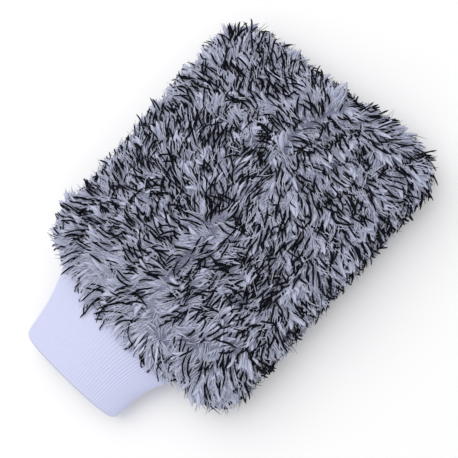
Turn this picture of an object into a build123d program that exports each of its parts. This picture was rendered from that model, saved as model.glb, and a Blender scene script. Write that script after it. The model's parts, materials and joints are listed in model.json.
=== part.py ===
from build123d import *
from collections import namedtuple
from math import radians, tan
import os

# Plush wash mitt, in millimetres. The mitt lies flat: +Z up, the fingers towards +Y, the wrist
# towards -Y. The origin is under the middle of the whole mitt, on the surface it lies on.

# Driving dimensions of the whole mitt
LENGTH = 280.0
WIDTH = 200.0
MID_Z = 17.0  # height of the seam plane, where the upper and lower layers meet
TOP_PILE_HEIGHT = 27.0  # from the seam plane to the top of the plush
SIDE_PILE = 13.0  # how far the plush stands out round the ground cloth
GROUND_CLOTH = 1.5
LINING_CLOTH = 1.0
CLOTH_HALF_HEIGHT = 9.0  # from the seam plane to the outside of a ground cloth

# Where the body of the mitt starts and ends along Y
FINGER_Y = LENGTH / 2
WRIST_WALL_Y = -72.0  # the ground cloth's edge at the wrist end, on both sides of the mouth
MOUTH_Y = -80.0
SHOULDER_Y = -90.0  # the plush stands out past the mouth on both sides of the cuff

# Corner radii in plan, and rim radii of the two plush halves
PILE_CORNER = 28.0
GROUND_CORNER = 20.0
LINING_CORNER = 14.0
TOP_RIM = 20.0
BOTTOM_RIM = 12.0

# Seam allowances, turned in between the ground cloth and the lining
BAG_GAP = 10.5
ALLOWANCE = 4.0
ALLOWANCE_THICKNESS = 0.8
THREAD = 0.7
SEAM_RING = 1.2

# The mouth, where the cuff is sewn in, sits a little to the -X side
CUFF_X = -5.0
NECK_HALF_WIDTH = 59.0
NECK_HALF_HEIGHT = 8.4
NECK_INNER_Y = -58.0
NECK_OUTER_Y = -90.0
NOTCH_HALF_WIDTH = 61.0
DROOP_LIMIT = 20.0  # degrees that the cuff can hang below its rest pose
HINGE_Z = MID_Z + NECK_HALF_HEIGHT  # the cuff turns about its upper ply, at the mouth

# The cuff: a rib knit tube, folded back on itself at the wrist
CUFF_PLY = 1.0
CUFF_PLY_GAP = 0.6
CUFF_CLEARANCE = 0.4
CLOSING_SEAM_WIDTH = 6.0
WRIST_Y = -LENGTH / 2

Station = namedtuple("Station", "y half_width half_height z")
CUFF_STATIONS = [
    Station(MOUTH_Y - CUFF_CLEARANCE, NECK_HALF_WIDTH, NECK_HALF_HEIGHT, MID_Z),
    Station(-97.0, 55.5, 8.6, 15.2),
    Station(-110.0, 51.5, 8.8, 13.4),
    Station(-124.0, 48.5, 9.0, 11.5),
    Station(WRIST_Y, 46.5, 9.0, 9.6),
]

# A cloth envelope: a flat pillow in plan, with a short oval neck at the mouth
Layer = namedtuple("Layer", "half_width wrist_y finger_y corner half_height rim neck_inset")

RIM_DROP = 1.0  # how much smaller a cloth's rim radius is than its half height
GROUND_OUTER = Layer(
    WIDTH / 2 - SIDE_PILE,
    WRIST_WALL_Y,
    FINGER_Y - SIDE_PILE,
    GROUND_CORNER,
    CLOTH_HALF_HEIGHT,
    CLOTH_HALF_HEIGHT - RIM_DROP,
    0.0,
)


def inset_layer(layer, side, wrist, thickness, corner):
    """The same envelope, smaller by side round the edges, and by thickness above and below."""
    half_height = layer.half_height - thickness
    return Layer(
        layer.half_width - side,
        layer.wrist_y + wrist,
        layer.finger_y - side,
        corner,
        half_height,
        half_height - RIM_DROP,
        layer.neck_inset + thickness,
    )


GROUND_INNER = inset_layer(
    GROUND_OUTER, GROUND_CLOTH, GROUND_CLOTH, GROUND_CLOTH, GROUND_CORNER - GROUND_CLOTH
)
LINING_OUTER = inset_layer(GROUND_INNER, BAG_GAP, 0.0, 0.0, LINING_CORNER)
LINING_INNER = inset_layer(
    LINING_OUTER, LINING_CLOTH, LINING_CLOTH, LINING_CLOTH, LINING_CORNER - LINING_CLOTH
)


def half_pillow(half_width, wrist_y, finger_y, corner, height, rim):
    """A rounded rectangle raised from the seam plane, up or down by height, with a round rim."""
    with BuildPart() as pillow:
        with BuildSketch(Plane.XY.offset(MID_Z)):
            with Locations((0, (wrist_y + finger_y) / 2)):
                RectangleRounded(2 * half_width, finger_y - wrist_y, corner)
        extrude(amount=height)
        outer_face = -1 if height > 0 else 0
        fillet(pillow.faces().sort_by(Axis.Z)[outer_face].edges(), rim)
    return pillow.part


def envelope(layer):
    """Everything inside a cloth's outer surface: two half pillows and the neck at the mouth."""
    sizes = layer.half_width, layer.wrist_y, layer.finger_y, layer.corner
    upper = half_pillow(*sizes, layer.half_height, layer.rim)
    lower = half_pillow(*sizes, -layer.half_height, layer.rim)
    with BuildPart() as whole:
        add(upper)
        add(lower)
        with BuildSketch(Plane.XZ.offset(-NECK_INNER_Y)):
            with Locations((CUFF_X, MID_Z)):
                Ellipse(NECK_HALF_WIDTH - layer.neck_inset, NECK_HALF_HEIGHT - layer.neck_inset)
        extrude(amount=NECK_INNER_Y - NECK_OUTER_Y)
    return whole.part


def mouth_notch(shift):
    """The space in front of the mouth: an upright face above the hinge line and, below it, a face
    that slants back by the droop limit. shift moves both faces towards the fingers."""
    far, above, below = 3 * WRIST_Y, 2 * LENGTH, -LENGTH
    slant_y = MOUTH_Y + (HINGE_Z - below) * tan(radians(DROOP_LIMIT))
    with BuildPart() as notch:
        with BuildSketch(Plane.YZ.offset(CUFF_X)):
            with BuildLine():
                Polyline(
                    (MOUTH_Y + shift, HINGE_Z),
                    (MOUTH_Y + shift, above),
                    (far, above),
                    (far, below),
                    (slant_y + shift, below),
                    close=True,
                )
            make_face()
        extrude(amount=NOTCH_HALF_WIDTH, both=True)
    return notch.part


def side_strip(half_width, finger_y, corner, width, from_z, to_z):
    """A U-shaped strip round the sides and the finger end, inwards from the given outline."""
    wrist_y = GROUND_INNER.wrist_y + GROUND_INNER.corner  # it stops where the wrist corners start
    past = 2 * corner  # the outlines run on past that, so the strip's legs stay straight
    with BuildPart() as strip:
        with BuildSketch(Plane.XY.offset(from_z)):
            with Locations((0, (wrist_y - past + finger_y) / 2)):
                RectangleRounded(2 * half_width, finger_y - wrist_y + past, corner)
            with Locations((0, (wrist_y - past + finger_y - width) / 2)):
                RectangleRounded(
                    2 * (half_width - width),
                    finger_y - width - wrist_y + past,
                    corner - width,
                    mode=Mode.SUBTRACT,
                )
            with Locations((0, wrist_y - past)):
                Rectangle(WIDTH, 2 * past, mode=Mode.SUBTRACT)
        extrude(amount=to_z - from_z)
    return strip.part


def cuff_tube(inset, end_y):
    """The cuff's outer shape, smaller by inset all round, from the mouth to end_y at the wrist."""
    with BuildPart() as tube:
        for station in CUFF_STATIONS:
            y = max(station.y, end_y)
            with BuildSketch(Plane.XZ.offset(-y)):
                with Locations((CUFF_X, station.z)):
                    Ellipse(station.half_width - inset, station.half_height - inset)
        loft()
    return tube.part


NOTCH = mouth_notch(0.0)
CLOTH_NOTCH = mouth_notch(SEAM_RING)
GROUND_OUTER_SPACE = envelope(GROUND_OUTER)
GROUND_INNER_SPACE = envelope(GROUND_INNER)
LINING_OUTER_SPACE = envelope(LINING_OUTER)
LINING_INNER_SPACE = envelope(LINING_INNER)
SEAM_PLANE = Plane.XY.offset(MID_Z)
os.makedirs("parts", exist_ok=True)


def save(part, name):
    """Label a finished piece and write it to its own STEP file."""
    part.label = name
    export_step(part, f"parts/{name}.step")


# The plush: one closed solid above the seam plane, one below it
for name, height, rim in (
    ("top_pile", TOP_PILE_HEIGHT, TOP_RIM),
    ("bottom_pile", -MID_Z, BOTTOM_RIM),
):
    plush = half_pillow(WIDTH / 2, SHOULDER_Y, FINGER_Y, PILE_CORNER, height, rim)
    with BuildPart() as pile:
        add(plush)
        add(GROUND_OUTER_SPACE, mode=Mode.SUBTRACT)
        add(NOTCH, mode=Mode.SUBTRACT)
    save(pile.part, name)

# The ground cloths, with their seam allowances turned in at the seam plane
for name, side, keep in (
    ("top_ground_cloth", 1, Keep.TOP),
    ("bottom_ground_cloth", -1, Keep.BOTTOM),
):
    allowance = side_strip(
        GROUND_INNER.half_width,
        GROUND_INNER.finger_y,
        GROUND_INNER.corner,
        ALLOWANCE,
        MID_Z,
        MID_Z + side * ALLOWANCE_THICKNESS,
    )
    with BuildPart() as ground_cloth:
        add(GROUND_OUTER_SPACE)
        add(GROUND_INNER_SPACE, mode=Mode.SUBTRACT)
        add(CLOTH_NOTCH, mode=Mode.SUBTRACT)
        split(bisect_by=SEAM_PLANE, keep=keep)
        add(allowance)
    save(ground_cloth.part, name)

# The linings, with their seam allowances turned out, away from the hand
for name, side, keep in (
    ("top_lining", 1, Keep.TOP),
    ("bottom_lining", -1, Keep.BOTTOM),
):
    allowance = side_strip(
        LINING_OUTER.half_width + ALLOWANCE,
        LINING_OUTER.finger_y + ALLOWANCE,
        LINING_OUTER.corner + ALLOWANCE,
        ALLOWANCE,
        MID_Z,
        MID_Z + side * ALLOWANCE_THICKNESS,
    )
    with BuildPart() as lining:
        add(LINING_OUTER_SPACE)
        add(LINING_INNER_SPACE, mode=Mode.SUBTRACT)
        add(CLOTH_NOTCH, mode=Mode.SUBTRACT)
        split(bisect_by=SEAM_PLANE, keep=keep)
        add(allowance)
    save(lining.part, name)

# The stitching along the allowances: a bead as high as the two allowances together
side_seam_thread = side_strip(
    GROUND_INNER.half_width - ALLOWANCE,
    GROUND_INNER.finger_y - ALLOWANCE,
    GROUND_INNER.corner - ALLOWANCE,
    THREAD,
    MID_Z - ALLOWANCE_THICKNESS,
    MID_Z + ALLOWANCE_THICKNESS,
)
save(side_seam_thread, "side_seam_thread")

lining_seam_thread = side_strip(
    LINING_OUTER.half_width + ALLOWANCE + THREAD,
    LINING_OUTER.finger_y + ALLOWANCE + THREAD,
    LINING_OUTER.corner + ALLOWANCE + THREAD,
    THREAD,
    MID_Z - ALLOWANCE_THICKNESS,
    MID_Z + ALLOWANCE_THICKNESS,
)
save(lining_seam_thread, "lining_seam_thread")

# The overlock ring that wraps the cut edges of the cloths at the mouth
with BuildPart() as cuff_seam_thread:
    add(GROUND_OUTER_SPACE)
    add(LINING_INNER_SPACE, mode=Mode.SUBTRACT)
    add(CLOTH_NOTCH, mode=Mode.INTERSECT)
    add(NOTCH, mode=Mode.SUBTRACT)
save(cuff_seam_thread.part, "cuff_seam_thread")

# The cuff: an outer and an inner ply, joined by the fold at the wrist
WALL = 2 * CUFF_PLY + CUFF_PLY_GAP
outer_tube = cuff_tube(0.0, WRIST_Y)
hand_tube = cuff_tube(WALL, WRIST_Y)
ply_gap_outer = cuff_tube(CUFF_PLY, WRIST_Y + CUFF_PLY)
ply_gap_inner = cuff_tube(CUFF_PLY + CUFF_PLY_GAP, WRIST_Y + CUFF_PLY)
with BuildPart() as ply_gap:
    add(ply_gap_outer)
    add(ply_gap_inner, mode=Mode.SUBTRACT)
with BuildPart() as rib_cuff:
    add(outer_tube)
    add(hand_tube, mode=Mode.SUBTRACT)
    add(ply_gap.part, mode=Mode.SUBTRACT)
save(rib_cuff.part, "rib_cuff")

# The stitching that closes the rib into a tube: it fills the gap between the plies along -X
with BuildPart() as cuff_closing_seam_thread:
    with BuildSketch(Plane.XZ.offset(-MOUTH_Y)):
        with Locations((CUFF_X - NECK_HALF_WIDTH, MID_Z)):
            Rectangle(NECK_HALF_WIDTH, LENGTH)
    extrude(amount=LENGTH)
    add(ply_gap.part, mode=Mode.INTERSECT)
save(cuff_closing_seam_thread.part, "cuff_closing_seam_thread")
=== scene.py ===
"""Plush wash mitt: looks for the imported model.

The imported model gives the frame: a plush body and a rib-knit cuff that turns at the mouth. This
file dresses it with a plush of separate strands, a knitted cuff with real ribs, seams and
linings. All sizes are in metres, in the frame's own axes: +Z up, fingers towards +Y.
"""
import json
import logging
import math
from dataclasses import dataclass
from enum import Enum

import bpy
import numpy as np
from mathutils import Matrix, Vector


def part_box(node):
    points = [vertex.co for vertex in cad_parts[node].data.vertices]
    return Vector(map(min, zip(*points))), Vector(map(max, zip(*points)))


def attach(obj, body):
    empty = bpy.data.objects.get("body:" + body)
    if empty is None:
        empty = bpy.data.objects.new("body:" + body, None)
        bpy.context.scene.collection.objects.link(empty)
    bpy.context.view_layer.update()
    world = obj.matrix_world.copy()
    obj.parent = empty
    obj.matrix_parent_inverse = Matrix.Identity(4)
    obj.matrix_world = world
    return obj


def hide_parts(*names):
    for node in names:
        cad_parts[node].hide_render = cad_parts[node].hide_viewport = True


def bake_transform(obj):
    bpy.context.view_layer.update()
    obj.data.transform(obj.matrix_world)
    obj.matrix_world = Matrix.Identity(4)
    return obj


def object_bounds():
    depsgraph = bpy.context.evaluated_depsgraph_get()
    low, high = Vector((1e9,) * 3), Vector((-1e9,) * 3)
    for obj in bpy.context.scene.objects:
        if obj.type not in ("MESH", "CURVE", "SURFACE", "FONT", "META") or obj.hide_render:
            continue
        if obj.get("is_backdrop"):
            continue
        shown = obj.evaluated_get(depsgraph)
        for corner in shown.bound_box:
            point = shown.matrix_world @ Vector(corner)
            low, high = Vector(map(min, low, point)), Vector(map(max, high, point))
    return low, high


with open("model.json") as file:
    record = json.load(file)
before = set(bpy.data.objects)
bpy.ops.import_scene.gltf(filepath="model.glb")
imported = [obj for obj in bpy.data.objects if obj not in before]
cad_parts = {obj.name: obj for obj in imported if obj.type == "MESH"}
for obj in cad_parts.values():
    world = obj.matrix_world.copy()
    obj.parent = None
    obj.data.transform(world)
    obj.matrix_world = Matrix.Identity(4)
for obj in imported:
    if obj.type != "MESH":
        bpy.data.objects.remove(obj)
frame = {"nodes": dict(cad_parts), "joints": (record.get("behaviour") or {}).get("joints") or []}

logging.basicConfig(level=logging.INFO, format="%(message)s")
log = logging.getLogger("mitt")

MM = 0.001
SEED = 53
# The strands' own map. The export keeps a map of this name as it is.
STRAND_MAP = "OFBake"
# Strips side by side in the strand map, each with streaks of its own.
LOCK_VARIANTS = 16
# Nearly all of a noise texture's values lie between these two.
NOISE_LOW, NOISE_HIGH = 0.35, 0.65
# A wave texture's bands are 0.31 long at scale 1, so this makes a wave two threads long.
WEAVE_REPEAT = 6.4
HASH_WEIGHTS = (12.9898, 78.233, 37.719)
HASH_STEP = 4.1414
HASH_SCALE = 43758.5453
Array = np.ndarray


class Body(str, Enum):
    """The two bodies that pieces can ride on; only the mitt's carries pieces here."""

    MITT = "mitt"
    CUFF = "cuff"


class Side(Enum):
    """The two layers of the mitt, by the way their plush faces."""

    TOP = 1
    BOTTOM = -1


# ---------------------------------------------------------------- numbers and curves


def smoothstep(edge0: float, edge1: float, value: Array) -> Array:
    """Cubic ease from 0 at edge0 to 1 at edge1.

    Args:
        edge0: where it leaves 0.
        edge1: where it reaches 1.
        value: the numbers to ease.

    Returns:
        3t^2 - 2t^3 of the clipped share t of the way from edge0 to edge1.
    """
    t = np.clip((value - edge0) / (edge1 - edge0), 0.0, 1.0)
    return t * t * (3.0 - 2.0 * t)


def unit(vectors: Array) -> Array:
    """Each row divided by its length."""
    return vectors / np.maximum(np.linalg.norm(vectors, axis=-1, keepdims=True), 1e-12)


def hashed(cells: Array, channel: int) -> Array:
    """A repeatable number from 0 to 1 for each integer cell.

    Args:
        cells: whole numbers, one row of three for each point.
        channel: which of the independent numbers to give.

    Returns:
        The fractional part of a large sine of a weighted sum of the cell and the channel.
    """
    mixed = cells @ np.array(HASH_WEIGHTS) + HASH_STEP * channel + SEED
    return np.abs(np.sin(mixed) * HASH_SCALE) % 1.0


def ripple(points: Array, wavelength: float, channel: int, terms: int = 5) -> Array:
    """Smooth noise: the mean of sines along fixed random directions.

    Args:
        points: positions, one row each.
        wavelength: the distance from crest to crest.
        channel: which of the independent patterns to give.
        terms: how many sines to add.

    Returns:
        Values of about -1 to 1.
    """
    rng = np.random.default_rng(SEED + 17 * channel)
    waves = unit(rng.normal(size=(terms, 3))) * rng.uniform(0.7, 1.4, (terms, 1))
    phase = rng.uniform(0.0, 2.0 * math.pi, terms)
    return np.sin(points @ waves.T * (2.0 * math.pi / wavelength) + phase).sum(1) / math.sqrt(terms)


# ---------------------------------------------------------------- meshes


def make_mesh(name: str, points: Array, faces: list[Array], uvs: list[Array] | None = None,
              uv_name: str = "surface", smooth: bool = True) -> bpy.types.Object:
    """A mesh object at the origin from whole arrays.

    Args:
        name: the piece's name.
        points: corner positions, one row each.
        faces: arrays of corner numbers, each array holding faces of one size.
        uvs: for each array of faces, the flat coordinates of its corners.
        uv_name: the name of the layer that holds uvs.
        smooth: whether the faces are shaded smooth.

    Returns:
        The object, linked to the scene.
    """
    mesh = bpy.data.meshes.new(name)
    corners = np.concatenate([f.ravel() for f in faces]).astype(np.int32)
    sizes = np.concatenate([np.full(len(f), f.shape[1]) for f in faces])
    starts = np.concatenate([[0], np.cumsum(sizes)[:-1]]).astype(np.int32)
    mesh.vertices.add(len(points))
    mesh.vertices.foreach_set("co", points.astype(np.float32).ravel())
    mesh.loops.add(len(corners))
    mesh.loops.foreach_set("vertex_index", corners)
    mesh.polygons.add(len(sizes))
    mesh.polygons.foreach_set("loop_start", starts)
    mesh.polygons.foreach_set("use_smooth", np.full(len(sizes), smooth))
    if uvs is not None:
        layer = mesh.uv_layers.new(name=uv_name)
        flat = np.concatenate([u.reshape(-1, 2) for u in uvs])
        layer.data.foreach_set("uv", flat.astype(np.float32).ravel())
    mesh.update(calc_edges=True)
    mesh.validate()
    piece = bpy.data.objects.new(name, mesh)
    bpy.context.scene.collection.objects.link(piece)
    return piece


def grid_faces(rows: int, columns: int, around: bool) -> Array:
    """The four-cornered faces of a grid of points stored row by row.

    Args:
        rows: how many rows of points.
        columns: how many points in a row.
        around: whether each row closes on itself.

    Returns:
        Corner numbers, four for each face.
    """
    across = columns if around else columns - 1
    r, c = np.meshgrid(np.arange(rows - 1), np.arange(across), indexing="ij")
    beside = (c + 1) % columns
    row, next_row = r * columns, (r + 1) * columns
    return np.stack([row + c, row + beside, next_row + beside, next_row + c], -1).reshape(-1, 4)


# ---------------------------------------------------------------- finishes


def srgb(code: str) -> tuple[float, float, float, float]:
    """A hex colour as the linear values that shaders use.

    Args:
        code: an sRGB colour, as a hash and six digits.

    Returns:
        Red, green, blue and an alpha of 1.
    """
    values = np.array([int(code[i:i + 2], 16) for i in (1, 3, 5)]) / 255.0
    linear = np.where(values <= 0.04045, values / 12.92, ((values + 0.055) / 1.055) ** 2.4)
    return (*linear.tolist(), 1.0)


def add_node(tree: bpy.types.NodeTree, kind: str, settings: dict | None = None,
             inputs: dict | None = None) -> bpy.types.Node:
    """Add a node, with its settings and its inputs.

    Args:
        tree: the node tree.
        kind: the node's type name, without the ShaderNode at its front.
        settings: properties to set on the node.
        inputs: for each input's name or number, a value or the output socket to link from.

    Returns:
        The new node.
    """
    node = tree.nodes.new("ShaderNode" + kind)
    for key, value in (settings or {}).items():
        setattr(node, key, value)
    for key, value in (inputs or {}).items():
        if isinstance(value, bpy.types.NodeSocket):
            tree.links.new(value, node.inputs[key])
        else:
            node.inputs[key].default_value = value
    return node


def new_finish(name: str) -> tuple[bpy.types.Material, bpy.types.NodeTree, bpy.types.Node]:
    """An empty material with its surface shader.

    Args:
        name: the material's name.

    Returns:
        The material, its node tree and its shader node.
    """
    material = bpy.data.materials.new(name)
    material.use_nodes = True
    tree = material.node_tree
    tree.nodes.clear()
    shader = add_node(tree, "BsdfPrincipled")
    add_node(tree, "OutputMaterial", inputs={"Surface": shader.outputs[0]})
    return material, tree, shader


@dataclass(frozen=True)
class StrandFinish:
    """Split polyester microfibre, cut and brushed: matt, soft, and streaked along its length.

    Attributes:
        name: the material's name.
        root, body, tip: colours along the strand; the root's is darkest, as painted shade deep in the
            pile.
        streak: the colour of the lighter fibres in it.
        depth: how strongly the streaks show.
        roughness, sheen, gloss: the shader's own values.
        body_at: where along the strand the body colour is reached.
        fibres_across: streaks across one strand.
        fibres_along: how often a streak changes along the strand.
    """

    name: str
    root: str
    body: str
    tip: str
    streak: str
    depth: float = 1.0
    roughness: float = 0.9
    sheen: float = 0.15
    gloss: float = 0.15
    body_at: float = 0.35
    fibres_across: float = 7.0
    fibres_along: float = 1.3

    def build(self) -> bpy.types.Material:
        """Make the material.

        Along the strand the colour runs from root to tip, darkest at the root as painted shade deep in
        the pile. Across it a noise drawn out along the strand mixes in the streak colour, so that a
        lock looks like many fine fibres.

        Returns:
            The material.
        """
        material, tree, shader = new_finish(self.name)
        place = add_node(tree, "UVMap", {"uv_map": STRAND_MAP})
        split = add_node(tree, "SeparateXYZ", inputs={0: place.outputs[0]})
        ramp = add_node(tree, "ValToRGB", inputs={0: split.outputs["Y"]})
        stops = ramp.color_ramp.elements
        # The root's colour is the darkest: painted shade deep in the pile.
        stops[0].color, stops[1].color = srgb(self.root), srgb(self.tip)
        stops.new(self.body_at).color = srgb(self.body)
        stretch = (LOCK_VARIANTS * self.fibres_across, self.fibres_along, 1.0)
        drawn = add_node(tree, "Mapping", inputs={"Vector": place.outputs[0], "Scale": stretch})
        fibres = add_node(tree, "TexNoise",
                          inputs={"Vector": drawn.outputs[0], "Scale": 1.0, "Detail": 2.0})
        share = add_node(tree, "MapRange", inputs={0: fibres.outputs[0], 1: NOISE_LOW,
                                                   2: NOISE_HIGH, 3: 0.0, 4: self.depth})
        colour = add_node(tree, "Mix", {"data_type": "RGBA"},
                          {"Factor": share.outputs[0], "A": ramp.outputs[0], "B": srgb(self.streak)})
        tree.links.new(colour.outputs["Result"], shader.inputs["Base Color"])
        shader.inputs["Roughness"].default_value = self.roughness
        shader.inputs["Sheen Weight"].default_value = self.sheen
        shader.inputs["Sheen Roughness"].default_value = 0.5
        shader.inputs["Specular IOR Level"].default_value = self.gloss
        return material


@dataclass(frozen=True)
class PileCoreFinish:
    """The depth of the plush between the strands: the same microfibre, coloured darker than the strands
    as painted shade of the pile's depth.
    """

    name: str
    # Both shades are darker than the strands: painted shade of the pile's depth.
    deep: str
    light: str
    tuft: float = 9 * MM

    def build(self) -> bpy.types.Material:
        """Make the material: soft random mottling of two shades, one tuft across, both darker than the
        strands as painted shade of the pile's depth.

        Returns:
            The material.
        """
        material, tree, shader = new_finish(self.name)
        place = add_node(tree, "TexCoord")
        tufts = add_node(tree, "TexNoise",
                         inputs={"Vector": place.outputs["Object"], "Scale": 1 / self.tuft,
                                 "Detail": 4.0, "Roughness": 0.6})
        ramp = add_node(tree, "ValToRGB", inputs={0: tufts.outputs[0]})
        shades = ((self.deep, NOISE_LOW), (self.light, NOISE_HIGH))
        for stop, (shade, position) in zip(ramp.color_ramp.elements, shades):
            stop.color = srgb(shade)
            stop.position = position
        tree.links.new(ramp.outputs[0], shader.inputs["Base Color"])
        shader.inputs["Roughness"].default_value = 0.95
        shader.inputs["Specular IOR Level"].default_value = 0.1
        return material


@dataclass(frozen=True)
class ClothFinish:
    """Knitted or woven polyester backing: a fine even grain of threads, quite matt."""

    name: str
    thread: str
    gap: str
    pitch: float
    relief: float = 0.2 * MM

    def build(self) -> bpy.types.Material:
        """Make the material: two crossed waves two threads long, in colour and in relief.

        Returns:
            The material.
        """
        material, tree, shader = new_finish(self.name)
        place = add_node(tree, "TexCoord")
        waves = [
            add_node(tree, "TexWave", {"bands_direction": axis},
                     {"Vector": place.outputs["Object"], "Scale": 1 / (self.pitch * WEAVE_REPEAT),
                      "Distortion": 0.6, "Detail": 1.0})
            for axis in ("X", "Y")
        ]
        weave = add_node(tree, "Math", {"operation": "MULTIPLY"},
                         {0: waves[0].outputs[1], 1: waves[1].outputs[1]})
        ramp = add_node(tree, "ValToRGB", inputs={0: weave.outputs[0]})
        ramp.color_ramp.elements[0].color = srgb(self.gap)
        ramp.color_ramp.elements[1].color = srgb(self.thread)
        bump = add_node(tree, "Bump", inputs={"Height": weave.outputs[0], "Strength": 0.5,
                                              "Distance": self.relief})
        tree.links.new(ramp.outputs[0], shader.inputs["Base Color"])
        tree.links.new(bump.outputs[0], shader.inputs["Normal"])
        shader.inputs["Roughness"].default_value = 0.9
        shader.inputs["Sheen Weight"].default_value = 0.15
        return material


@dataclass(frozen=True)
class RibKnitFinish:
    """Cotton and polyester rib knit: matt, with painted shade in the grooves between its ribs.

    Attributes:
        fold: how far along the knit from its root the wrist's fold is.
        name: the material's name.
        rib, groove_shade, fold_shade: the colour of the crests, the painted shade in the grooves and the
            painted shade along the fold's edge.
        stitch: the height of one row of loops.
        relief: how far the loops stand out.
        faint_x, strong_x: where across the cuff the painted groove shade is faintest, and where it is
            strongest.
        faint_share, strong_share: how strongly the painted groove shade shows at those places.
        fold_shade_half: half the width of the line of painted shade on the fold.
    """

    fold: float
    name: str = "rib_knit_cotton"
    rib: str = "#CDD1EC"
    # The groove colour is painted shade in the recesses between the ribs.
    groove_shade: str = "#ACB1D4"
    # The fold colour is painted shade along the wrist's fold.
    fold_shade: str = "#B4B8C6"
    stitch: float = 1.1 * MM
    relief: float = 0.15 * MM
    faint_x: float = -10 * MM
    strong_x: float = 42 * MM
    faint_share: float = 0.10
    strong_share: float = 0.8
    fold_shade_half: float = 1.6 * MM

    def build(self) -> bpy.types.Material:
        """Make the material.

        Across the knit map is the rib count, along it are metres from the root. The painted shade in
        the grooves shows more towards the near side, where x is larger, and a line of painted shade
        runs along the fold.

        Returns:
            The material.
        """
        material, tree, shader = new_finish(self.name)
        place = add_node(tree, "UVMap", {"uv_map": "knit"})
        split = add_node(tree, "SeparateXYZ", inputs={0: place.outputs[0]})
        turn = add_node(tree, "Math", {"operation": "MULTIPLY"},
                        {0: split.outputs["X"], 1: 2 * math.pi})
        crest = add_node(tree, "Math", {"operation": "COSINE"}, {0: turn.outputs[0]})
        # Where the grooves lie, for their painted shade.
        groove_shade = add_node(tree, "MapRange", inputs={0: crest.outputs[0], 1: 0.3, 2: -1.0})
        inside = add_node(tree, "TexCoord")
        across = add_node(tree, "SeparateXYZ", inputs={0: inside.outputs["Object"]})
        # The painted groove shade grows from faint on the far side to strong on the near side.
        groove_shade_strength = add_node(tree, "MapRange",
                             inputs={0: across.outputs["X"], 1: self.faint_x, 2: self.strong_x,
                                     3: self.faint_share, 4: self.strong_share})
        share = add_node(tree, "Math", {"operation": "MULTIPLY"},
                         {0: groove_shade.outputs[0], 1: groove_shade_strength.outputs[0]})
        colour = add_node(tree, "Mix", {"data_type": "RGBA"},
                          {"Factor": share.outputs[0], "A": srgb(self.rib), "B": srgb(self.groove_shade)})
        # A line of painted shade along the wrist's fold.
        from_fold = add_node(tree, "Math", {"operation": "SUBTRACT"},
                             {0: split.outputs["Y"], 1: self.fold})
        far = add_node(tree, "Math", {"operation": "ABSOLUTE"}, {0: from_fold.outputs[0]})
        edge = add_node(tree, "MapRange", inputs={0: far.outputs[0], 1: self.fold_shade_half,
                                                  2: self.fold_shade_half / 2, 3: 0.0, 4: 0.8})
        fold_shaded = add_node(tree, "Mix", {"data_type": "RGBA"},
                          {"Factor": edge.outputs[0], "A": colour.outputs["Result"], "B": srgb(self.fold_shade)})
        row = add_node(tree, "Math", {"operation": "MULTIPLY"},
                       {0: split.outputs["Y"], 1: 2 * math.pi / self.stitch})
        loops = add_node(tree, "Math", {"operation": "SINE"}, {0: row.outputs[0]})
        bump = add_node(tree, "Bump", inputs={"Height": loops.outputs[0], "Strength": 0.35,
                                              "Distance": self.relief})
        tree.links.new(fold_shaded.outputs["Result"], shader.inputs["Base Color"])
        tree.links.new(bump.outputs[0], shader.inputs["Normal"])
        shader.inputs["Roughness"].default_value = 0.92
        shader.inputs["Sheen Weight"].default_value = 0.2
        shader.inputs["Specular IOR Level"].default_value = 0.2
        return material


# ---------------------------------------------------------------- the plush body


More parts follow.
